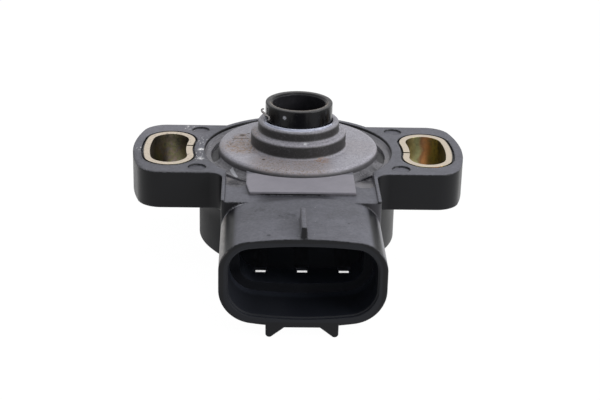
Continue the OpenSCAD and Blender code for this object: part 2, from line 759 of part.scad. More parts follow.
module resistor_board() {
    notch_r = 1.1;
    notch_out = 0.3;
    color("#6b4a2c") difference() {
        ring(boss_r + 0.3, board_r, board_z, board_top);
        for (i = [-1:1]) translate([i * terminal_pitch, prong_y, board_z + board_t / 2])
            cube([prong_room.x, prong_room.y, board_t + 2 * past], center = true);
        translate([0, board_r + notch_out, board_z - past])
            cylinder(r = notch_r, h = board_t + 2 * past, $fn = 32);
    }
}

// Raises a flat print of the tracks' thickness onto the board
module print() {
    translate([0, 0, board_top]) linear_extrude(track_t) children();
}

module resistive_track() {
    color("#1c1c1c") print()
        ring_sector(track_r - track_w / 2, track_r + track_w / 2, track_from, 180 - track_from);
}

// A round pad of print about the prong of a terminal, with the lead that comes to it
module print_pad(at_x) {
    difference() {
        union() {
            translate([at_x, prong_y]) circle(r = solder_r);
            children();
        }
        translate([at_x, prong_y]) square(prong_room, center = true);
    }
}

module collector_track() {
    lead_w = 1.2;
    color("#a9a9a9") print() {
        ring_sector(collector_r - track_w / 2, collector_r + track_w / 2, -90, 90);
        ring_sector(collector_r - track_w / 2, collector_r + track_w / 2, 90, 270);
        print_pad(0) translate([-lead_w / 2, prong_y]) square([lead_w, -prong_y - collector_r]);
    }
}

// Lead from one end of the resistive track to the prong of an outer terminal
module end_conductor(side) {
    start = track_from - 0.3;
    color("#bdbdbd") print() scale([side, 1]) print_pad(terminal_pitch)
        polygon([
            for (r = [track_r + track_w / 2, track_r - track_w / 2]) r * [cos(start), sin(start)],
            for (reach = [-0.8, 0.8]) [terminal_pitch + reach * solder_r, prong_y]
        ]);
}

// One terminal, bent from strip: a blade in the socket, a drop through the neck and a prong through the board
module terminal_strip(at_x) {
    half = blade_t / 2;
    tip_half_w = blade_w / 2 - 0.42;
    tip_cut = 0.17;
    tail_half_w = 0.8;
    translate([at_x, 0, 0]) intersection() {
        translate([-blade_w, 0, 0]) rotate([90, 0, 90]) linear_extrude(2 * blade_w) {
            polygon([[tip_y, blade_z - half + tip_cut], [tip_y + 0.6, blade_z - half], [bend_y, blade_z - half],
                [bend_y, blade_z + half], [tip_y + 0.6, blade_z + half], [tip_y, blade_z + half - tip_cut]]);
            translate([bend_y - half, tail_z]) square([blade_t, blade_z - tail_z]);
            translate([bend_y, tail_z - half]) square([prong_y - bend_y, blade_t]);
            translate([prong_y - half, prong_foot]) square([blade_t, tail_z - prong_foot]);
            for (p = [[bend_y, blade_z], [bend_y, tail_z], [prong_y, tail_z]])
                translate(p) circle(r = half, $fn = 32);
        }
        translate([0, 0, prong_foot - past]) linear_extrude(blade_z + blade_t - prong_foot + 2 * past) polygon([
            for (side = [-1, 1]) [side * tip_half_w, tip_y],
            [blade_w / 2, tip_y + blade_bevel], [blade_w / 2, bend_y + 1], [tail_half_w, bend_y + 1.6],
            [tail_half_w, prong_y - 1.4], [prong_w / 2, prong_y - 1], [prong_w / 2, prong_y + 1],
            [-prong_w / 2, prong_y + 1], [-prong_w / 2, prong_y - 1], [-tail_half_w, prong_y - 1.4],
            [-tail_half_w, bend_y + 1.6], [-blade_w / 2, bend_y + 1], [-blade_w / 2, tip_y + blade_bevel]
        ]);
    }
}

module terminal(at_x) {
    color("#e4e4e6") terminal_strip(at_x);
}

module solder(at_x) {
    color("#b4b6ba") difference() {
        translate([at_x, prong_y, board_z - 0.3]) cylinder(r1 = 0.6, r2 = solder_r, h = 0.3, $fn = 48);
        terminal_strip(at_x);
    }
}

module rear_cover() {
    label_r = 9.5;
    color("#242428") difference() {
        union() {
            translate([0, 0, rear_outer_z]) cylinder(r = rear_r, h = rear_t);
            translate([0, 0, rear_inner_z]) cylinder(r = boss_r, h = boss_top - rear_inner_z);
            translate([0, 0, rear_inner_z]) cylinder(r = pivot_r, h = pivot_top - 0.3 - rear_inner_z);
            translate([0, 0, pivot_top - 0.3]) cylinder(r1 = pivot_r, r2 = pivot_r - 0.3, h = 0.3);
        }
        translate([0, 0, rear_outer_z - past]) cylinder(r = label_r, h = past + 0.25);
        translate([0, 0, rear_outer_z - past]) cylinder(r = 1.2, h = past + 0.5);
    }
}

module rear_sealant() {
    color("#1a1a1c") ring(rear_r, rebate_r, rear_outer_z + 0.15, rear_inner_z);
}

housing();
rotate(180) sleeve();  // sleeve_left
sleeve();  // sleeve_right
front_cover();
cover_sealant();
bearing_bush();
shaft_seal();
rotor();
thrust_washer();
return_spring();
wiper();
resistor_board();
resistive_track();
collector_track();
end_conductor(-1);  // end_conductor_left
end_conductor(1);  // end_conductor_right
terminal(-terminal_pitch);  // terminal_left
terminal(0);  // terminal_middle
terminal(terminal_pitch);  // terminal_right
solder(-terminal_pitch);  // solder_left
solder(0);  // solder_middle
solder(terminal_pitch);  // solder_right
rear_cover();
rear_sealant();
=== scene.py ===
# Throttle position sensor: finishes, small dirt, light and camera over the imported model
import math

import bmesh
import bpy
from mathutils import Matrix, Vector, noise


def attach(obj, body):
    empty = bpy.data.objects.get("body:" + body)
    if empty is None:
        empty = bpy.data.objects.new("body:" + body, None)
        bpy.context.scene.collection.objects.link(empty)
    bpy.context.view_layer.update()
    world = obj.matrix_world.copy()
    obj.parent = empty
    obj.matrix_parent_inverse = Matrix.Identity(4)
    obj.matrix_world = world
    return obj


print("loading the packed model")
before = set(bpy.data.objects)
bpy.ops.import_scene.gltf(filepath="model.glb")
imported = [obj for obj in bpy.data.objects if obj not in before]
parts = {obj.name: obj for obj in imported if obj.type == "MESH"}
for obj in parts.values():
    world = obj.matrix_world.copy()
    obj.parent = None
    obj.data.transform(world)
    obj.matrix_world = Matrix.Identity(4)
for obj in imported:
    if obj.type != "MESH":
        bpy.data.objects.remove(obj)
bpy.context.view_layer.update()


class Wire:
    # one output socket, so that shader maths reads as an expression
    def __init__(self, sheet, socket):
        self.sheet = sheet
        self.socket = socket

    def also(self, output):
        # another output of the same node
        return Wire(self.sheet, self.socket.node.outputs[output])

    def maths(self, operation, *values):
        return self.sheet.node("ShaderNodeMath", {"operation": operation}, dict(enumerate(values)))

    def __add__(self, other):
        return self.maths("ADD", self, other)

    def __radd__(self, other):
        return self.maths("ADD", other, self)

    def __sub__(self, other):
        return self.maths("SUBTRACT", self, other)

    def __rsub__(self, other):
        return self.maths("SUBTRACT", other, self)

    def __mul__(self, other):
        return self.maths("MULTIPLY", self, other)

    def __rmul__(self, other):
        return self.maths("MULTIPLY", other, self)

    def __abs__(self):
        return self.maths("ABSOLUTE", self)

    def root(self):
        return self.maths("SQRT", self)

    def most(self, other):
        return self.maths("MAXIMUM", self, other)

    def limited(self):
        return self.sheet.node("ShaderNodeClamp", {}, {0: self})

    def ramp(self, low, high, below, above):
        # one value below low, another above high, smooth between
        ends = {0: self, 1: low, 2: high, 3: below, 4: above}
        return self.sheet.node("ShaderNodeMapRange", {"interpolation_type": "SMOOTHSTEP"}, ends)

    def rising(self, low, high):
        return self.ramp(low, high, 0.0, 1.0)

    def falling(self, low, high):
        return self.ramp(low, high, 1.0, 0.0)

    def band(self, low, high, soft):
        return self.rising(low - soft, low) * self.falling(high, high + soft)


class NodeSheet:
    # the nodes of one material, or of the world
    def __init__(self, tree):
        self.tree = tree
        self.tree.nodes.clear()

    def node(self, kind, settings=None, inputs=None, output=0):
        made = self.tree.nodes.new(kind)
        for key, value in (settings or {}).items():
            if key == "stops":
                self.setStops(made.color_ramp, value)
            else:
                setattr(made, key, value)
        for key, value in (inputs or {}).items():
            self.fill(made.inputs[key], value)
        if made.outputs:
            return Wire(self, made.outputs[output])

    def setStops(self, ramp, stops):
        while len(ramp.elements) < len(stops):
            ramp.elements.new(0.5)
        for element, (position, colour) in zip(ramp.elements, stops):
            element.position = position
            element.color = colour + (1.0,)

    def fill(self, socket, value):
        if isinstance(value, Wire):
            self.tree.links.new(value.socket, socket)
        elif socket.type == "RGBA":
            socket.default_value = value + (1.0,)
        else:
            socket.default_value = value

    def straightView(self):
        # 1 for the camera, a reflection or a look through grease, 0 for light that falls on the part
        camera = self.node("ShaderNodeLightPath", {}, {}, "Is Camera Ray")
        return camera.most(camera.also("Is Glossy Ray")).most(camera.also("Is Transmission Ray"))

    def blend(self, factor, first, second):
        return self.node("ShaderNodeMixShader", {}, {0: factor, 1: first, 2: second})


class Finish(NodeSheet):
    # one material: a Principled shader with the nodes that feed it
    def __init__(self, name, sockets):
        self.material = bpy.data.materials.new(name)
        self.material.use_nodes = True
        super().__init__(self.material.node_tree)
        self.shader = self.node("ShaderNodeBsdfPrincipled")
        self.node("ShaderNodeOutputMaterial", {}, {0: self.shader})
        self.give(sockets)
        metres = self.node("ShaderNodeTexCoord", {}, {}, "Object")
        self.place = self.node("ShaderNodeVectorMath", {"operation": "SCALE"}, {0: metres, "Scale": 1000.0})
        self.x, self.y, self.z = self.axes(self.place)  # the place on the part, in millimetres
        self.fromAxis = (self.x * self.x + self.y * self.y).root()
        self.skin = None

    def give(self, sockets):
        for name, value in sockets.items():
            self.fill(self.shader.socket.node.inputs[name], value)

    def paint(self, amount, colour):
        # lays a colour over the skin, by an amount from 0 to 1
        self.skin = self.tint(amount, self.skin, colour)

    def tint(self, amount, first, second):
        return self.node("ShaderNodeMix", {"data_type": "RGBA"}, {0: amount, 6: first, 7: second}, 2)

    def colours(self, value, stops):
        return self.node("ShaderNodeValToRGB", {"stops": stops}, {0: value})

    def axes(self, vector):
        along = self.node("ShaderNodeSeparateXYZ", {}, {0: vector})
        return along, along.also(1), along.also(2)

    def moved(self, shift, stretch):
        return self.node("ShaderNodeMapping", {}, {0: self.place, 1: shift, 3: stretch})

    def noise(self, scale, detail, roughness, distortion=0.0, stretch=(1, 1, 1), shift=(0, 0, 0)):
        inputs = {"Vector": self.moved(shift, stretch), "Scale": scale, "Detail": detail,
                  "Roughness": roughness, "Distortion": distortion}
        return self.node("ShaderNodeTexNoise", {}, inputs)

    def cells(self, scale, shift):
        inputs = {"Vector": self.moved(shift, (1, 1, 1)), "Scale": scale}
        return self.node("ShaderNodeTexVoronoi", {}, inputs)

    def near(self, point, radius, soft):
        # 1 at a point of the part, 0 beyond its radius
        away = self.node("ShaderNodeVectorMath", {"operation": "DISTANCE"}, {0: self.place, 1: point}, 1)
        return away.falling(radius - soft, radius)

    def spots(self, height, places):
        # several spots at one height, each with its x, y, radius and softness
        total = 0.0
        for x, y, radius, soft in places:
            total = self.near((x, y, height), radius, soft) + total
        return total

    def streak(self, mark, soft):
        # 1 along a straight mark seen from above, 0 beyond its width
        run = Vector(mark["to"]) - Vector(mark["from"])
        length = run.length
        run.normalize()
        x = self.x - mark["from"][0]
        y = self.y - mark["from"][1]
        across = abs(x * run.y - y * run.x)
        along = x * run.x + y * run.y
        return across.falling(mark["width"] - soft, mark["width"]) * along.band(soft, length - soft, soft)

    def softNormal(self, radius):
        return self.node("ShaderNodeBevel", {"samples": 6}, {"Radius": radius})

    def worn(self, rounded):
        # grows from 0 on the flat to 1 at a sharp edge or corner
        flat = self.node("ShaderNodeNewGeometry", {}, {}, "Normal")
        along = self.node("ShaderNodeVectorMath", {"operation": "DOT_PRODUCT"}, {0: rounded, 1: flat}, 1)
        return along.falling(0.72, 0.98)

    def relief(self, height, depth, strength, normal=None):
        inputs = {"Height": height, "Distance": depth, "Strength": strength}
        if normal is not None:
            inputs["Normal"] = normal
        return self.node("ShaderNodeBump", {}, inputs)


# edges and depths are in metres, places in millimetres
# a pair is a soft edge, from and to, and three numbers are a band with its softness
# a spot has x, y, radius and softness
housingLook = {
    "black": (0.0058, 0.0060, 0.0074),
    "specular": 0.21,
    "edge": 0.00038,
    "grainDepth": 0.000016,
    # faces past this level take dust and the painted sheen together
    "level": (0.80, 0.91),  # how far a face looks up before dust lies on it, 1 is straight up
    "socket": {
        # the socket's four tones are painted light and shade, one for each way a face there looks
        "floor": (0.0115, 0.0130, 0.0180),
        "deepFloor": (0.028, 0.032, 0.044),
        "roof": (0.055, 0.062, 0.085),
        "front": (0.0105, 0.0115, 0.0150),
        "halfWidth": 6.9,
        "halfHeight": 1.75,
        "middle": -6.7,
        "corner": (4.4, 4.6),
        "rear": (-22.7, -22.4),
        "deep": (-30.4, -29.4),
    },
    # the film is dust and a painted sheen together, the light that faces looking up catch
    "film": {
        "colour": (0.132, 0.132, 0.154),
        "amount": 0.56,
        "cloudy": 0.42,
        "grainy": 0.95,
        "blotchy": 0.60,
        "crown": (-28.5, -22.4, 1.5),
        "barerCrown": 0.14,
        "ribSide": (0.9, 1.1),
        "ribFoot": (0.30, 0.45),
        "ribFlankLight": 0.65,
    },
    "leftEar": {
        "dust": (0.240, 0.228, 0.256),
        "root": (-14.5, -13.0),
        "patchy": 0.9,
        "front": (-4.5, -1.0),
        "barerFront": 0.16,
        "rubbedEdge": 0.0018,
        "rubbedFront": (-3.0, 0.0),
        "rubbed": 0.85,
        "dustyBack": (2.0, 8.0),
        "dustyEnd": (-17.0, -13.0),
        "dusty": 0.30,
    },
    "pad": {
        "film": (0.240, 0.228, 0.256),
        "amount": 0.66,
        "cloudy": 0.45,
        "blotchy": 0.35,
        "top": (0.02, 0.06),
        "length": (-19.6, -12.0, 0.2),
        "side": (8.6, 8.8),
        "front": (-19.6, -19.35, 0.03),
        "foot": (-0.40, -0.35),
        "frontFaceLight": 0.42,
        "bareFront": (-5.0, 2.5, 2.5),
    },
    "recess": {
        "film": (0.225, 0.218, 0.232),
        "backWallLight": (0.50, 0.49, 0.52),
        "dust": (0.30, 0.27, 0.235),
        "gloom": (0.018, 0.018, 0.024),
        "amount": 0.60,
        "cloudy": 0.50,
        "patchy": 0.6,
        "innerSide": (12.8, 13.0),
        "outerSide": (15.85, 16.05),
        "depth": (-2.6, -0.45, 0.08),
        "pocketSide": (11.8, 12.0),
        "pocketLength": (-19.5, -8.0, 0.3),
        "back": (1.0, 5.0),
        "darkWall": (13.6, -3.4, -1.5),
        "gloomHeight": -0.6,
        "gloomSpots": [(10.6, -10.3, 2.8, 2.2), (-10.2, -12.3, 2.8, 2.2)],
    },
    "smudgesAndTroughShade": {
        "colour": (0.018, 0.018, 0.024),
        "troughBack": (-19.56, -19.50),
        "troughFront": (-22.9, -21.3),
        "troughSlope": 0.15,
        "troughLength": (-4.6, 3.2, 3.2),
        "troughShade": 0.88,
        "crownSpots": [(-1.8, -27.8, 2.4, 2.0), (-6.5, -25.5, 2.6, 2.4)],
        "crownAmount": 0.55,
        "dots": [(-5.0, -35.0, 0.42, 0.25), (6.7, -30.2, 0.40, 0.24), (-3.4, -28.2, 0.22, 0.13)],
        "dotAmount": 0.85,
    },
    "neck": {
        # the neck's film is painted light
        "film": (0.085, 0.083, 0.092),
        "front": (-22.36, -22.10, 0.03),
        "top": (-0.40, -0.25),
        "beyondCase": (20.0, 21.0),
        "right": (8.5, 12.0),
        "rightLight": 0.8,
        "left": (-11.0, -9.0),
        "leftLight": 0.10,
    },
    "shoulders": {
        "paintedSheen": (0.150, 0.150, 0.165),
        "scuff": (0.33, 0.30, 0.285),
        "pale": (0.46, 0.46, 0.49),
        "slope": (0.22, 0.46, 0.18),  # how far the shoulder looks up
        "back": (-22.9, -22.4),
        "inner": (10.6, 11.0),
        "right": (0.0, 1.0),
        "left": (-1.0, 0.0),
        "front": (-33.0, -26.0),
        "ragged": (-22.66, -22.37, 0.05),
        "raggedLength": (-12.0, -8.6, 0.3),
    },
    "edgeWearAndHighlight": {
        "colour": (0.150, 0.150, 0.168),
        "amount": 0.75,
        "pale": (0.46, 0.46, 0.49),
        "paleMark": {"from": (-10.9, -7.4), "to": (-9.8, -10.4), "width": 0.34},
        "paleMarkDepth": (-2.6, -0.3, 0.1),
    },
    "lint": {
        "colour": (0.90, 0.89, 0.88),
        "specks": (0.03, 0.08),
        "softness": 0.8,
        # x, y, reach, and the least noise that shows as a crumb
        "places": [(-15.9, -0.6, 0.85, 0.46), (-15.9, -4.7, 0.85, 0.46), (-15.8, 3.4, 3.0, 0.58),
                   (-16.4, -3.0, 3.6, 0.60), (-18.4, 9.6, 1.8, 0.56), (-25.8, -0.5, 1.0, 0.55)],
    },
    "gloss": {
        "roughness": 0.38,
        "dullLevel": 0.16,
        "lowerHeight": (-9.0, -6.5),
        "lowerSide": (15.0, 15.5),
        "lowerLeft": (-4.0, 0.0),
        "dullLower": 0.22,
        "deepWall": (-31.0, -30.0),
        "dullDeep": 0.5,
    },
}


class HousingFinish(Finish):
    # the black moulding, painted place by place
    def __init__(self, look):
        super().__init__("housingPlastic", {"Specular IOR Level": look["specular"]})
        self.rounded = self.softNormal(look["edge"])
        self.sidewise, self.forwards, self.up = self.axes(self.rounded)
        self.cloud = self.noise(scale=0.30, detail=4.0, roughness=0.6)
        self.blotch = self.noise(scale=0.45, detail=5.0, roughness=0.7, distortion=0.8, shift=(1, 4, 2))
        self.patch = self.noise(scale=0.8, detail=4.0, roughness=0.6, distortion=0.4, shift=(7, 3, 5))
        self.corner = self.noise(scale=0.9, detail=4.0, roughness=0.7, shift=(3, 7, 1))
        self.fine = self.noise(scale=2.4, detail=5.0, roughness=0.65)
        self.grain = self.noise(scale=7.0, detail=2.0, roughness=0.5)
        self.crumbs = self.noise(scale=2.1, detail=3.0, roughness=0.7, shift=(2, 7, 1))
        self.inSocket = self.findSocket(look["socket"])
        self.outside = 1.0 - self.inSocket
        self.level = self.up.rising(*look["level"]) * self.outside

    def findSocket(self, socket):
        # a rounded box about the middle of the connector's mouth
        sideways = (abs(self.x) - socket["halfWidth"]).most(0.0)
        upright = (abs(self.z - socket["middle"]) - socket["halfHeight"]).most(0.0)
        reach = (sideways * sideways + upright * upright).root()
        return reach.falling(*socket["corner"]) * self.y.falling(*socket["rear"])

    def layBaseAndSocketShade(self, black, socket):
        # plain black; inside the socket, painted light and shade: a tone for the floor, the deeper floor, the
        # roof and the wall facing the mouth, by how light falls on each
        tone = self.tint(self.y.rising(*socket["deep"]), socket["floor"], socket["deepFloor"])
        tone = self.tint(self.up.falling(-0.8, -0.4), tone, socket["roof"])
        tone = self.tint(self.forwards.falling(-0.8, -0.5), tone, socket["front"])
        self.skin = self.tint(self.inSocket, black, tone)

    def layDustAndSheen(self, film, ear):
        # dust and a painted sheen on whatever looks up, rubbed off along the edge of the left ear
        amount = film["amount"] + film["cloudy"] * self.cloud + film["grainy"] * (self.fine - 0.5)
        amount = self.level * (amount + film["blotchy"] * (self.blotch - 0.42))
        onEar = self.x.falling(*ear["root"])
        uneven = ear["patchy"] * (self.patch - 0.5) - ear["barerFront"] * self.y.falling(*ear["front"])
        rubbed = self.worn(self.softNormal(ear["rubbedEdge"])) * onEar * self.y.falling(*ear["rubbedFront"])
        crown = self.y.band(*film["crown"])
        amount = amount * (1.0 + onEar * uneven) * (1.0 - ear["rubbed"] * rubbed)
        amount = amount * (1.0 - film["barerCrown"] * crown)
        # painted light on the rib's flanks, so that they show as pale as its top
        rib = abs(self.x).falling(*film["ribSide"]) * self.z.rising(*film["ribFoot"])
        rib = rib * abs(self.sidewise).rising(0.5, 0.8) * self.outside
        self.paint(amount + film["ribFlankLight"] * rib, film["colour"])
        backOfEar = self.level * self.y.rising(*ear["dustyBack"]) * self.x.falling(*ear["dustyEnd"])
        self.paint(backOfEar * ear["dusty"], ear["dust"])

    def layPad(self, pad):
        # the pad in front of the cover is paler; its low front side gets painted light, so that it shows no
        # shade
        onTop = self.z.rising(*pad["top"]) * self.y.band(*pad["length"])
        onFront = self.y.band(*pad["front"]) * self.z.rising(*pad["foot"]) * self.forwards.falling(-0.7, -0.5)
        onFront = onFront * pad["frontFaceLight"] * (1.0 - self.x.band(*pad["bareFront"]))
        onPad = onTop.most(onFront) * abs(self.x).falling(*pad["side"])
        tone = pad["amount"] + pad["cloudy"] * self.cloud + pad["blotchy"] * (self.blotch - 0.5)
        self.paint(onPad * tone, pad["film"])

    def dustRecess(self, recess):
        # dust in the recess and the pockets, and painted light on their walls where shade falls
        pockets = abs(self.x).falling(*recess["pocketSide"]) * self.y.band(*recess["pocketLength"])
        around = (self.fromAxis.falling(*recess["outerSide"]) + pockets).limited()
        inRecess = around * self.fromAxis.rising(*recess["innerSide"]) * self.z.band(*recess["depth"])
        wall = 1.0 - self.level
        tone = recess["amount"] + recess["cloudy"] * self.cloud + recess["patchy"] * (self.patch - 0.5)
        # less of the painted light on the walls near the dark wedge at the right
        tone = tone * (1.0 - 0.75 * wall * self.near(recess["darkWall"], radius=3.4, soft=2.0))
        self.paint(inRecess * tone, recess["film"])
        # painted light on the back walls, paler still
        back = wall * self.y.rising(*recess["back"]) * (0.5 + 0.6 * self.cloud)
        self.paint(inRecess * back, recess["backWallLight"])
        self.paint(inRecess * self.level * self.corner.rising(0.52, 0.72) * 0.6, recess["dust"])
        gloom = self.spots(recess["gloomHeight"], recess["gloomSpots"])
        self.paint(gloom * self.crumbs.rising(0.30, 0.54) * 0.9, recess["gloom"])

    def smudge(self, marks):
        # painted shade in the trough between pad and shroud; smudges on the crown beside the rib, and a few
        # dots
        trough = self.y.falling(*marks["troughBack"]) * self.x.band(*marks["troughLength"])
        trough = trough * (self.y - marks["troughSlope"] * self.x).rising(*marks["troughFront"])
        trough = trough * self.level * self.patch.rising(0.12, 0.36)
        self.paint(trough * marks["troughShade"], marks["colour"])
        crown = self.spots(0.2, marks["crownSpots"]) * self.patch.rising(0.42, 0.62) * self.level
        self.paint(crown * marks["crownAmount"], marks["colour"])
        dots = self.spots(0.1, marks["dots"]) * self.fine.rising(0.35, 0.5)
        self.paint(dots * marks["dotAmount"], marks["colour"])

    def lightNeckFront(self, neck):
        # painted light on the neck's front, lighter towards its right side, where more light falls
        front = self.y.band(*neck["front"]) * self.z.falling(*neck["top"])
        front = front * self.fromAxis.rising(*neck["beyondCase"])
        tone = neck["rightLight"] * self.x.rising(*neck["right"])
        tone = tone + neck["leftLight"] * self.x.falling(*neck["left"])
        self.paint(front * tone * (0.7 + 0.5 * self.cloud), neck["film"])

    def sheenAndScuffShoulders(self, shroud):
        # the shroud's shoulders: a painted sheen on the right; on the left a painted sheen broken by pale
        # scuffs
        shoulder = self.up.band(*shroud["slope"]) * self.y.falling(*shroud["back"]) * self.outside
        shoulder = shoulder * abs(self.x).rising(*shroud["inner"])
        self.paint(shoulder * self.x.rising(*shroud["right"]) * 0.9, shroud["paintedSheen"])
        scuffs = self.noise(scale=2.6, detail=5.0, roughness=0.7, stretch=(1.0, 0.45, 1.0))
        # a steady share of painted sheen, with pale scuffs from the noise, fading towards the mouth
        scuffs = (0.42 + 0.50 * scuffs.rising(0.34, 0.64)) * (0.80 + 0.20 * self.y.rising(*shroud["front"]))
        self.paint(shoulder * self.x.falling(*shroud["left"]) * scuffs, shroud["scuff"])
        ragged = (self.y + 0.8 * (self.grain - 0.5)).band(*shroud["ragged"])
        ragged = ragged * self.x.band(*shroud["raggedLength"]) * self.up.rising(0.2, 0.4)
        self.paint(ragged * self.crumbs.rising(0.42, 0.56), shroud["pale"])

    def wearAndHighlightEdges(self, edgeWearAndHighlight):
        # pale edges, partly wear and partly a painted highlight along the rounded edges
        worn = self.worn(self.rounded) * self.fine.rising(0.38, 0.62) * self.outside
        self.paint(worn * edgeWearAndHighlight["amount"], edgeWearAndHighlight["colour"])
        # a painted highlight: a pale streak at the front of the left pocket
        paleMark = self.streak(edgeWearAndHighlight["paleMark"], soft=0.16) * self.z.band(*edgeWearAndHighlight["paleMarkDepth"])
        self.paint(paleMark * 0.9, edgeWearAndHighlight["pale"])

    def strewLint(self, lint):
        # white specks, thickest beside the left sleeve
        specks = self.cells(scale=1.3, shift=(5, 1, 2)).falling(*lint["specks"])
        specks = specks * self.corner.rising(0.50, 0.62)
        for x, y, reach, least in lint["places"]:
            around = self.near((x, y, 0.0), reach, reach * lint["softness"])
            specks = specks + around * self.crumbs.rising(least, least + 0.06)
        self.paint(specks * self.level, lint["colour"])

    def dull(self, gloss):
        # rougher where dust lies, low on the left of the case, and at the bottom of the socket
        roughness = gloss["roughness"] + 0.12 * (self.cloud - 0.5) + 0.08 * (self.fine - 0.5)
        roughness = roughness + gloss["dullLevel"] * self.level
        lower = self.z.falling(*gloss["lowerHeight"]) * self.fromAxis.rising(*gloss["lowerSide"])
        lower = lower * self.x.falling(*gloss["lowerLeft"])
        deep = self.inSocket * self.y.rising(*gloss["deepWall"]) * self.forwards.falling(-0.8, -0.5)
        return (roughness + gloss["dullLower"] * lower + gloss["dullDeep"] * deep).limited()


def makeHousingFinish(look):
    finish = HousingFinish(look)
    finish.layBaseAndSocketShade(look["black"], look["socket"])
    finish.layDustAndSheen(look["film"], look["leftEar"])
    finish.layPad(look["pad"])
    finish.dustRecess(look["recess"])
    finish.smudge(look["smudgesAndTroughShade"])
    finish.lightNeckFront(look["neck"])
    finish.sheenAndScuffShoulders(look["shoulders"])
    finish.wearAndHighlightEdges(look["edgeWearAndHighlight"])
    finish.strewLint(look["lint"])
    height = finish.grain * 0.6 + finish.fine * 0.8
    finish.give({
        "Base Color": finish.skin,
        "Roughness": finish.dull(look["gloss"]),
        "Normal": finish.relief(height, look["grainDepth"], strength=0.6, normal=finish.rounded),
    })
    return finish.material


sleeveLook = {
    "face": (0.50, 0.435, 0.355),
    "grime": (0.15, 0.125, 0.095),
    "dark": (0.080, 0.074, 0.062),
    "roughness": 0.30,
    "edge": 0.00012,
    "grainDepth": 0.00001,
    "halfWidth": 3.1,
    "farEdge": (25.13, 25.28),
    "top": (-2.5, -0.5),
    "left": {
        "middle": -21.3, "dirt": 0.95, "gloom": 0.40, "shift": (4, 2, 9), "upright": 0.14,
        "bands": [(0.28, (0.22, 0.19, 0.13)), (0.38, (0.20, 0.19, 0.18)), (0.46, (0.27, 0.20, 0.15)),
                  (0.56, (0.32, 0.31, 0.14)), (0.66, (0.20, 0.18, 0.17)), (0.76, (0.28, 0.24, 0.15))],
    },
    "right": {
        "middle": 21.3, "dirt": 0.40, "gloom": -0.12, "shift": (1, 8, 3), "upright": 0.90,
        "bands": [(0.06, (0.10, 0.085, 0.04)), (0.22, (0.52, 0.46, 0.22)), (0.38, (0.34, 0.34, 0.17)),
                  (0.50, (0.26, 0.13, 0.06)), (0.63, (0.55, 0.25, 0.09)), (0.76, (0.46, 0.36, 0.10)),
                  (0.90, (0.12, 0.11, 0.05))],
    },
}


def makeSleeveFinish(look, side):
    own = look[side]
    finish = Finish("sleeveSteel" + side.capitalize(), {"Metallic": 1.0})
    rounded = finish.softNormal(look["edge"])
    up = finish.axes(rounded)[2]
    mottle = finish.noise(scale=1.5, detail=5.0, roughness=0.65, shift=own["shift"])
    broad = finish.noise(scale=0.5, detail=3.0, roughness=0.5, distortion=0.6, shift=own["shift"])
    # heat tints of the plating, as upright bands on the right sleeve and in patches on the left
    across = (finish.x - own["middle"]) * (0.5 / look["halfWidth"]) + 0.5
    along = own["upright"] * across + (1.0 - own["upright"]) * (0.45 * broad + 0.55 * mottle)
    along = along + 0.20 * (broad - 0.5) + 0.14 * (mottle - 0.5)
    # darker in patches, and a painted shade towards the top of the bore
    gloom = own["gloom"] + 2.0 * (mottle - 0.5) + 0.35 * finish.z.rising(*look["top"])
    bore = finish.tint(gloom, finish.colours(along, own["bands"]), look["dark"])
    spots = finish.noise(scale=2.6, detail=4.0, roughness=0.7, shift=own["shift"]).rising(0.56, 0.70)
    face = finish.tint(spots * own["dirt"], look["face"], look["grime"])
    face = finish.tint(finish.fromAxis.rising(*look["farEdge"]) * 0.9, face, look["dark"])
    finish.give({
        "Base Color": finish.tint(abs(up).rising(0.7, 0.95), bore, face),
        "Roughness": look["roughness"] + 0.25 * mottle,
        "Normal": finish.relief(mottle, look["grainDepth"], strength=0.5, normal=rounded),
    })
    return finish.material


coverLook = {
    "steel": (0.026, 0.0245, 0.025),
    "dustAndSheenHaze": (0.365, 0.353, 0.394),
    "skirt": (0.105, 0.102, 0.110),
    "grease": (0.68, 0.70, 0.82),
    "pale": (0.60, 0.60, 0.62),
    "specular": 0.35,
    "roughness": 0.50,
    "edge": 0.00030,
    "grainDepth": 0.00004,
    "hazeAmount": 0.80,
    "underRim": (2.8, 3.2),
    "skirtSide": (12.3, 12.9),
    "skirtTop": (0.2, 0.7),
    "rimTop": (4.70, 4.95),
    "rimSide": (5.95, 6.35),
    "rimFront": (-4.0, 0.0),
    "rimRight": (1.0, 5.0),
    "paleMark": (0.9, -6.9, 3.25),
    "dust": {
        "rust": (0.225, 0.148, 0.100),
        "front": (0.165, 0.135, 0.115),
        "dark": (0.040, 0.022, 0.013),
        "orange": (0.235, 0.125, 0.060),
        "face": 0.95,
        "leftSpots": [(-9.0, -1.5, 4.9, 3.2), (-8.9, 2.6, 2.6, 1.8)],
        "frontSpots": [(-1.5, -9.6, 8.0, 3.5)],
        "frontShare": 0.25,
        "rightSpots": [(9.8, -1.5, 4.5, 2.5)],
        "rightShare": 0.16,
        "clumps": [(-9.2, 3.6, 0.70, 0.45), (-5.7, -7.5, 0.36, 0.18), (-8.2, 4.4, 0.35, 0.20)],
        "orangeSpots": [(3.7, -7.7, 1.7, 1.2)],
        "clearOfCollar": (7.4, 8.4),
        "scratch": 2.05,
        "scratchWaver": 0.35,
        "scratchWidth": (0.07, 0.19),
        "scratchLength": (-10.7, -8.3, 0.3),
    },
}


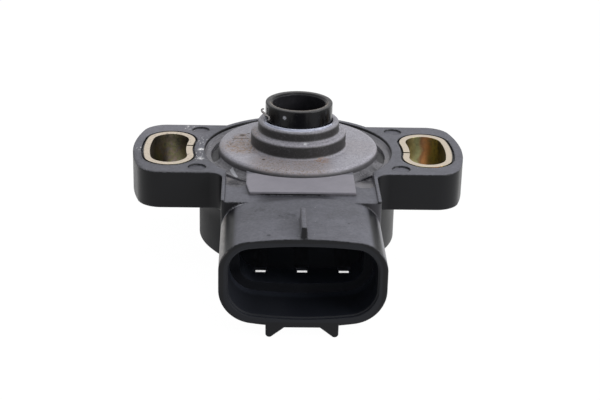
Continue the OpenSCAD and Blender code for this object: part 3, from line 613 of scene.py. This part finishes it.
def dustCover(finish, dust, level, grain, fineGrain):
    # brown dust lies on the left of the flat face, and thinly along its front
    left = finish.spots(dust["face"], dust["leftSpots"]).limited()
    front = finish.spots(dust["face"], dust["frontSpots"]) * finish.fromAxis.rising(*dust["clearOfCollar"])
    right = finish.spots(dust["face"], dust["rightSpots"])
    finish.paint(front * (fineGrain.rising(0.47, 0.58) * 0.8 + 0.02) * level, dust["front"])
    spread = (left + front * dust["frontShare"] + right * dust["rightShare"]).limited()
    finish.paint(spread * (grain.rising(0.45, 0.57) + 0.05) * level, dust["rust"])
    dots = finish.cells(scale=1.5, shift=(1, 4, 0)).falling(0.22, 0.42) * fineGrain.rising(0.47, 0.54) * level
    finish.paint(dots * (spread + 0.10) * 0.95, dust["dark"])
    waver = dust["scratchWaver"] * (finish.noise(scale=1.4, detail=2.0, roughness=0.5) - 0.5)
    scratch = abs(finish.y - dust["scratch"] + waver).falling(*dust["scratchWidth"])
    scratch = scratch * finish.x.band(*dust["scratchLength"])
    finish.paint(scratch * finish.z.rising(dust["face"] - 0.15, dust["face"] - 0.05), dust["dark"])
    clumps = finish.spots(dust["face"], dust["clumps"]).limited()
    finish.paint(clumps * grain.rising(0.36, 0.46), dust["dark"])
    orange = finish.spots(dust["face"], dust["orangeSpots"]) * level
    finish.paint(orange * fineGrain.rising(0.50, 0.55), dust["orange"])


def makeCoverFinish(look):
    finish = Finish("coverSteel", {"Specular IOR Level": look["specular"]})
    rounded = finish.softNormal(look["edge"])
    up = finish.axes(rounded)[2]
    level = up.rising(0.20, 0.80)
    wall = 1.0 - level
    cloud = finish.noise(scale=0.28, detail=4.0, roughness=0.6, shift=(2, 5, 0))
    grain = finish.noise(scale=2.6, detail=5.0, roughness=0.75)
    fineGrain = finish.noise(scale=4.0, detail=2.0, roughness=0.6)
    # a dull grey haze on what looks up, dust and a painted sheen together, thinner from 3 mm up; the walls
    # stay darker
    dustAndSheenHaze = look["hazeAmount"] + 0.22 * (cloud - 0.5) + 1.2 * (grain - 0.5) + 1.2 * (fineGrain - 0.5)
    dustAndSheenHaze = level * dustAndSheenHaze * (1.0 - 0.16 * finish.z.rising(*look["underRim"]))
    finish.skin = finish.tint(dustAndSheenHaze, look["steel"], look["dustAndSheenHaze"])
    finish.paint(wall * (0.30 * (grain - 0.50) + 0.30 * (fineGrain - 0.50)), look["dustAndSheenHaze"])
    skirt = finish.fromAxis.rising(*look["skirtSide"]) * finish.z.falling(*look["skirtTop"])
    finish.paint(skirt * (0.6 + 0.8 * (cloud - 0.3)), look["skirt"])
    dustCover(finish, look["dust"], level, grain, fineGrain)
    # grease pressed out beside the rotor has smeared the front of the rim, less on its right, and a painted
    # highlight brightens it
    greaseAndHighlightRing = (finish.fromAxis + 0.5 * (cloud - 0.5)).falling(*look["rimSide"])
    greaseAndHighlightRing = greaseAndHighlightRing * finish.z.rising(*look["rimTop"]) * up.rising(0.1, 0.5) * finish.y.falling(*look["rimFront"])
    greaseAndHighlightRing = greaseAndHighlightRing * (1.0 - 0.7 * finish.x.rising(*look["rimRight"]))
    finish.paint(greaseAndHighlightRing * 0.95, look["grease"])
    finish.paint(finish.near(look["paleMark"], radius=0.50, soft=0.3) * grain.rising(0.38, 0.50), look["pale"])
    turned = finish.noise(scale=3.0, detail=2.0, roughness=0.5, stretch=(0.02, 0.02, 1.6))
    height = grain * 0.7 + turned * wall * 0.8
    finish.give({
        "Base Color": finish.skin,
        "Roughness": (look["roughness"] + 0.14 * (grain - 0.5) - 0.28 * greaseAndHighlightRing).limited(),
        "Metallic": 0.25 * wall,
        "Normal": finish.relief(height, look["grainDepth"], strength=0.7, normal=rounded),
    })
    return finish.material


rotorLook = {
    "black": (0.0035, 0.0035, 0.0045),
    "smear": (0.022, 0.023, 0.030),
    "rim": (0.058, 0.055, 0.056),
    "dust": (0.20, 0.165, 0.14),
    "bore": (0.024, 0.023, 0.027),
    "speck": (0.55, 0.56, 0.60),
    "specular": 0.20,
    "roughness": 0.16,
    "edge": 0.00018,
    "grainDepth": 0.00002,
    "smearAmount": 0.6,
    "top": (8.1, 8.2),
    "boreSide": (4.36, 4.42),
    "boreFrom": (2.0, 2.2),
    "lipSide": (4.74, 4.92),
    "lipTop": (7.75, 7.95),
    "lipFront": (-2.0, 1.0),
    "lipAmount": 0.9,
    "crumb": (-2.44, -4.9, 7.07),
    "speckAmount": 0.85,
}


def makeRotorFinish(look):
    finish = Finish("rotorPlastic", {"Specular IOR Level": look["specular"]})
    rounded = finish.softNormal(look["edge"])
    smear = finish.noise(scale=0.8, detail=4.0, roughness=0.6, distortion=0.8, stretch=(1, 1, 0.5))
    fine = finish.noise(scale=4.0, detail=3.0, roughness=0.6)
    finish.skin = finish.tint(smear.rising(0.55, 0.78) * look["smearAmount"], look["black"], look["smear"])
    top = finish.z.rising(*look["top"])
    finish.paint(top * (0.30 + 0.6 * fine), look["rim"])
    inBore = finish.fromAxis.falling(*look["boreSide"]) * finish.z.rising(*look["boreFrom"])
    finish.paint(inBore * (0.3 + 0.7 * smear), look["bore"])
    lip = finish.fromAxis.falling(*look["lipSide"]) * finish.y.falling(*look["lipFront"])
    lip = lip * finish.z.rising(*look["lipTop"]) * fine.rising(0.34, 0.52)
    finish.paint(lip * look["lipAmount"], look["dust"])
    specks = finish.near(look["crumb"], radius=0.42, soft=0.25) * fine.rising(0.35, 0.5)
    specks = specks + finish.cells(scale=1.1, shift=(4, 4, 1)).falling(0.03, 0.07) * smear.rising(0.50, 0.60)
    finish.paint(specks * look["speckAmount"], look["speck"])
    finish.give({
        "Base Color": finish.skin,
        "Roughness": look["roughness"] + 0.22 * smear.rising(0.45, 0.8) + 0.16 * top + 0.2 * inBore,
        "Normal": finish.relief(smear + 0.2 * fine, look["grainDepth"], strength=0.35, normal=rounded),
    })
    return finish.material


terminalLook = {
    "tones": [(0.3, (0.62, 0.61, 0.60)), (0.7, (0.86, 0.86, 0.87))],
    "roughness": 0.12,
    "edge": 0.00006,
    "grainDepth": 0.000008,
}


def makeTinFinish(look):
    finish = Finish("terminalTin", {"Metallic": 1.0})
    rounded = finish.softNormal(look["edge"])
    streaks = finish.noise(scale=3.0, detail=4.0, roughness=0.6, stretch=(1, 0.12, 1))
    finish.give({
        "Base Color": finish.colours(streaks, look["tones"]),
        "Roughness": look["roughness"] + 0.1 * streaks,
        "Normal": finish.relief(streaks, look["grainDepth"], strength=0.5, normal=rounded),
    })
    return finish.material


sealantLook = {
    "tones": [(0.34, (0.040, 0.039, 0.044)), (0.62, (0.19, 0.185, 0.20))],
    "smudge": (0.020, 0.020, 0.024),
    "pale": (0.42, 0.42, 0.45),
    "deep": (0.012, 0.012, 0.013),
    "specular": 0.3,
    "roughness": 0.36,
    "bumpDepth": 0.00012,
    "surface": -0.8,
    "gloomSpots": [(10.6, -9.6, 2.6, 2.2), (-10.6, -11.2, 2.4, 1.8)],
    "paleMark": {"from": (-10.9, -7.6), "to": (-9.9, -10.3), "width": 0.30},
    "deepFrom": (-1.5, -1.2),
}


def makeSealantFinish(look):
    finish = Finish("sealant", {"Specular IOR Level": look["specular"]})
    cloud = finish.noise(scale=0.7, detail=4.0, roughness=0.6, distortion=0.5)
    fine = finish.noise(scale=3.0, detail=4.0, roughness=0.6)
    finish.skin = finish.colours(cloud * 0.75 + fine * 0.25, look["tones"])
    gloom = finish.spots(look["surface"], look["gloomSpots"])
    finish.paint(gloom * fine.rising(0.36, 0.56) * 0.85, look["smudge"])
    # a painted highlight: the pale streak at the front of the left pocket
    finish.paint(finish.streak(look["paleMark"], soft=0.14) * 0.9, look["pale"])
    # painted shade: darker deep down in the groove
    finish.paint(finish.z.falling(*look["deepFrom"]) * 0.7, look["deep"])
    finish.give({
        "Base Color": finish.skin,
        "Roughness": look["roughness"] + 0.3 * fine,
        "Normal": finish.relief(cloud + 0.3 * fine, look["bumpDepth"], strength=0.6),
    })
    return finish.material


# the hidden pieces, by their finish
innerLooks = {
    "sinteredBronze": {
        "pieces": ["bearing_bush"],
        "dark": (0.30, 0.19, 0.08), "light": (0.55, 0.38, 0.18),
        "grain": 6.0, "metallic": 1.0, "roughness": 0.42,
    },
    "sealRubber": {
        "pieces": ["shaft_seal"],
        "dark": (0.008, 0.008, 0.008), "light": (0.022, 0.022, 0.022),
        "grain": 3.0, "metallic": 0.0, "roughness": 0.45,
    },
    "washerSteel": {
        "pieces": ["thrust_washer"],
        "dark": (0.45, 0.45, 0.46), "light": (0.68, 0.68, 0.70),
        "grain": 4.0, "metallic": 1.0, "roughness": 0.30,
    },
    "springWire": {
        "pieces": ["return_spring"],
        "dark": (0.34, 0.34, 0.36), "light": (0.60, 0.60, 0.62),
        "grain": 5.0, "metallic": 1.0, "roughness": 0.28,
    },
    "wiperAlloy": {
        "pieces": ["wiper"],
        "dark": (0.52, 0.38, 0.16), "light": (0.75, 0.58, 0.30),
        "grain": 5.0, "metallic": 1.0, "roughness": 0.25,
    },
    "boardLaminate": {
        "pieces": ["resistor_board"],
        "dark": (0.10, 0.052, 0.020), "light": (0.20, 0.115, 0.050),
        "grain": 1.2, "metallic": 0.0, "roughness": 0.50,
    },
    "carbonInk": {
        "pieces": ["resistive_track"],
        "dark": (0.010, 0.010, 0.010), "light": (0.028, 0.028, 0.028),
        "grain": 6.0, "metallic": 0.0, "roughness": 0.35,
    },
    "silverInk": {
        "pieces": ["collector_track", "end_conductor_left", "end_conductor_right"],
        "dark": (0.45, 0.44, 0.42), "light": (0.66, 0.65, 0.62),
        "grain": 4.0, "metallic": 1.0, "roughness": 0.45,
    },
    "solderMetal": {
        "pieces": ["solder_left", "solder_middle", "solder_right"],
        "dark": (0.42, 0.42, 0.44), "light": (0.70, 0.70, 0.72),
        "grain": 2.0, "metallic": 1.0, "roughness": 0.28,
    },
    "rearPlastic": {
        "pieces": ["rear_cover"],
        "dark": (0.010, 0.010, 0.011), "light": (0.026, 0.026, 0.028),
        "grain": 1.5, "metallic": 0.0, "roughness": 0.42,
    },
}
innerGrainDepth = 0.00001


def makeInnerFinish(name, look):
    finish = Finish(name, {"Metallic": look["metallic"]})
    grain = finish.noise(scale=look["grain"], detail=4.0, roughness=0.6, distortion=0.2)
    finish.give({
        "Base Color": finish.colours(grain, [(0.3, look["dark"]), (0.7, look["light"])]),
        "Roughness": look["roughness"] + 0.2 * (grain - 0.5),
        "Normal": finish.relief(grain, innerGrainDepth, strength=0.4),
    })
    return finish.material


def dress(material, *names):
    for name in names:
        for slot in parts[name].material_slots:
            slot.material = material


print("finishes for the packed pieces")
dress(makeHousingFinish(housingLook), "housing")
dress(makeSleeveFinish(sleeveLook, "left"), "sleeve_left")
dress(makeSleeveFinish(sleeveLook, "right"), "sleeve_right")
dress(makeCoverFinish(coverLook), "front_cover")
dress(makeRotorFinish(rotorLook), "rotor")
dress(makeTinFinish(terminalLook), "terminal_left", "terminal_middle", "terminal_right")
dress(makeSealantFinish(sealantLook), "cover_sealant", "rear_sealant")
for name, look in innerLooks.items():
    dress(makeInnerFinish(name, look), *look["pieces"])


greaseLook = {
    "specular": 0.6,
    "ior": 1.46,
    "roughness": 0.14,
    "waveDepth": 0.00005,
}


def makeGreaseFinish(name, own):
    finish = Finish(name, {
        "Specular IOR Level": greaseLook["specular"],
        "Transmission Weight": own["clear"],
        "IOR": greaseLook["ior"],
    })
    cloud = finish.noise(scale=0.9, detail=4.0, roughness=0.6)
    finish.give({
        "Base Color": finish.colours(cloud, [(0.35, own["dark"]), (0.62, own["light"])]),
        "Roughness": greaseLook["roughness"] + 0.25 * cloud,
        "Normal": finish.relief(cloud, greaseLook["waveDepth"], strength=0.4),
    })
    return finish.material


def addPiece(name, form, material, body):
    bmesh.ops.recalc_face_normals(form, faces=form.faces)
    mesh = bpy.data.meshes.new(name)
    form.to_mesh(mesh)
    form.free()
    for face in mesh.polygons:
        face.use_smooth = True
    mesh.materials.append(material)
    piece = bpy.data.objects.new(name, mesh)
    bpy.context.collection.objects.link(piece)
    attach(piece, body)


def taper(share):
    # thin at both ends, full between
    return 0.30 + 0.70 * math.sin(math.pi * share) ** 0.5


def sweepGrease(form, middles, thicks, reference, flatness, sides):
    # a round string of grease along a line of points
    loops = []
    for step, (middle, thick) in enumerate(zip(middles, thicks)):
        run = middles[min(step + 1, len(middles) - 1)] - middles[max(step - 1, 0)]
        across = run.cross(reference).normalized()
        upward = across.cross(run).normalized()
        loop = []
        for side in range(sides):
            angle = 2 * math.pi * side / sides
            offset = across * math.cos(angle) + upward * math.sin(angle) * flatness
            loop.append(form.verts.new(middle + offset * thick))
        loops.append(loop)
    for first, second in zip(loops, loops[1:]):
        for side in range(sides):
            after = (side + 1) % sides
            form.faces.new((first[side], first[after], second[after], second[side]))
    form.faces.new(loops[0][::-1])
    form.faces.new(loops[-1])


# lengths in metres, from and to in degrees round the axis
greaseBead = {
    "radius": 0.00578,
    "height": 0.00532,
    "from": 198,
    "to": 336,
    "thickness": 0.00028,
    "flatness": 0.75,
    "waver": 0.00008,
    "lumpSize": 3.5,
    "lumpiness": 0.30,
    "steps": 96,
    "sides": 12,
    "dark": (0.42, 0.44, 0.54),
    "light": (0.60, 0.62, 0.74),
    "clear": 0.1,
}


def makeGreaseBead(look):
    # an uneven bead that the rotor has pressed out along the front of the collar's rim
    form = bmesh.new()
    middles = []
    thicks = []
    for step in range(look["steps"] + 1):
        share = step / look["steps"]
        turn = math.radians(look["from"] + share * (look["to"] - look["from"]))
        spoke = Vector((math.cos(turn), math.sin(turn), 0))
        lump = noise.noise(spoke * look["lumpSize"])
        middles.append(spoke * (look["radius"] + look["waver"] * lump) + Vector((0, 0, look["height"])))
        thicks.append(look["thickness"] * taper(share) * (1.0 + look["lumpiness"] * lump))
    sweepGrease(form, middles, thicks, Vector((0, 0, 1)), look["flatness"], look["sides"])
    addPiece("greaseBead", form, makeGreaseFinish("greaseWhite", look), "case")


# points and reach in millimetres
greaseFoot = {
    "lumps": [((-5.30, -1.4, 5.35), 0.30), ((-5.42, -1.3, 5.80), 0.30)],
    "lumpSize": 2600,
    "lumpiness": 0.35,
    "roundness": 3,
    "dark": (0.30, 0.30, 0.34),
    "light": (0.58, 0.58, 0.64),
    "clear": 0.15,
}


def makeGreaseFoot(look):
    # two lumps on the collar, at the left of the rotor's tube
    form = bmesh.new()
    for point, reach in look["lumps"]:
        middle = Vector(point) / 1000
        made = bmesh.ops.create_icosphere(form, subdivisions=look["roundness"], radius=reach / 1000)
        for vert in made["verts"]:
            swell = 1.0 + look["lumpiness"] * noise.noise(vert.co * look["lumpSize"] + Vector(point))
            vert.co = middle + vert.co * swell
    addPiece("greaseFoot", form, makeGreaseFinish("greaseCloudy", look), "case")


# points and thickness in millimetres
greaseCurl = {
    "points": [(-5.00, -2.46, 5.90), (-4.76, -2.88, 6.16), (-4.92, -2.56, 6.48), (-5.18, -1.96, 6.42),
               (-5.42, -1.34, 6.36), (-5.68, -1.00, 6.52), (-5.98, -0.90, 6.70), (-6.12, -0.80, 6.94),
               (-5.94, -0.80, 7.18), (-5.66, -0.80, 7.12)],
    "thickness": 0.17,
    "lumpSize": 2.6,
    "lumpiness": 0.45,
    "rounding": 3,
    "sides": 10,
    "dark": (0.26, 0.23, 0.22),
    "light": (0.62, 0.58, 0.57),
    "clear": 0.25,
}


def makeGreaseCurl(look):
    # a hooked string of grease that clings to the tube and turns with it
    line = [Vector(point) for point in look["points"]]
    for cut in range(look["rounding"]):
        corners = [line[0]]
        for first, second in zip(line, line[1:]):
            corners += [first.lerp(second, 0.25), first.lerp(second, 0.75)]
        line = corners + [line[-1]]
    middles = [point / 1000 for point in line]
    thicks = []
    for step, point in enumerate(line):
        swell = 1.0 + look["lumpiness"] * noise.noise(point * look["lumpSize"])
        thicks.append(look["thickness"] / 1000 * taper(step / (len(line) - 1)) * swell)
    form = bmesh.new()
    sweepGrease(form, middles, thicks, Vector((0, 1, 0)), 1.0, look["sides"])
    addPiece("greaseCurl", form, makeGreaseFinish("greaseClear", look), "rotor")


print("grease beside the rotor")
makeGreaseBead(greaseBead)
makeGreaseFoot(greaseFoot)
makeGreaseCurl(greaseCurl)


studio = {
    "background": (1.0, 1.0, 1.0),
    "ambient": (0.93, 0.96, 1.0),
    "ambientStrength": 0.45,
    "paper": (0.50, 0.50, 0.50),
    "floorGlow": 1.06,
    "floorShare": 0.93,
    "floorHeight": -0.01535,
    "floorReach": 3.0,
    "overheadBox": {"place": (0.05, 0.12, 0.50), "size": 0.50, "power": 1.42},
    "rightBox": {"place": (0.42, -0.26, 0.22), "size": 0.25, "power": 1.7},
}


def makeWorld(look):
    # white to look at, and a plain cool fill for the part
    world = bpy.data.worlds.new("whiteStudio")
    world.use_nodes = True
    sheet = NodeSheet(world.node_tree)
    fill = {"Color": look["ambient"], "Strength": look["ambientStrength"]}
    lighting = sheet.node("ShaderNodeBackground", {}, fill)
    seen = sheet.node("ShaderNodeBackground", {}, {"Color": look["background"]})
    sheet.node("ShaderNodeOutputWorld", {}, {0: sheet.blend(sheet.straightView(), lighting, seen)})
    bpy.context.scene.world = world


def makeFloor(look):
    # grey paper that looks white, and still takes a little of the part's shadow
    reach = look["floorReach"]
    corners = [(-reach, -reach, 0), (reach, -reach, 0), (reach, reach, 0), (-reach, reach, 0)]
    mesh = bpy.data.meshes.new("paperFloor")
    mesh.from_pydata(corners, [], [(0, 1, 2, 3)])
    material = bpy.data.materials.new("paper")
    material.use_nodes = True
    sheet = NodeSheet(material.node_tree)
    paper = sheet.node("ShaderNodeBsdfDiffuse", {}, {"Color": look["paper"]})
    glow = sheet.node("ShaderNodeEmission", {}, {"Color": look["background"], "Strength": look["floorGlow"]})
    share = sheet.straightView() * look["floorShare"]
    sheet.node("ShaderNodeOutputMaterial", {}, {0: sheet.blend(share, paper, glow)})
    mesh.materials.append(material)
    floor = bpy.data.objects.new("paperFloor", mesh)
    floor.location.z = look["floorHeight"]
    bpy.context.collection.objects.link(floor)


def makeLamp(name, look):
    # a square soft box that looks at the middle of the part
    data = bpy.data.lights.new(name, "AREA")
    data.shape = "SQUARE"
    data.size = look["size"]
    data.energy = look["power"]
    lamp = bpy.data.objects.new(name, data)
    lamp.location = look["place"]
    lamp.rotation_euler = (-Vector(look["place"])).to_track_quat("-Z", "Y").to_euler()
    bpy.context.collection.objects.link(lamp)


photoCamera = {
    "place": (-0.00718, -0.225612, 0.0851377),
    "turn": (67.3366, -1.26206, -1.42734),
    "lens": 87.998,
    "sensor": 36.0,
    "nearest": 0.01,
    "farthest": 20.0,
}


def makeCamera(look):
    data = bpy.data.cameras.new("photoCamera")
    data.lens = look["lens"]
    data.sensor_width = look["sensor"]
    data.clip_start = look["nearest"]
    data.clip_end = look["farthest"]
    camera = bpy.data.objects.new("photoCamera", data)
    camera.location = look["place"]
    camera.rotation_euler = [math.radians(angle) for angle in look["turn"]]
    bpy.context.collection.objects.link(camera)
    bpy.context.scene.camera = camera


print("studio and camera")
makeWorld(studio)
makeFloor(studio)
makeLamp("overheadBox", studio["overheadBox"])
makeLamp("rightBox", studio["rightBox"])
makeCamera(photoCamera)
bpy.context.scene.view_settings.view_transform = "Standard"
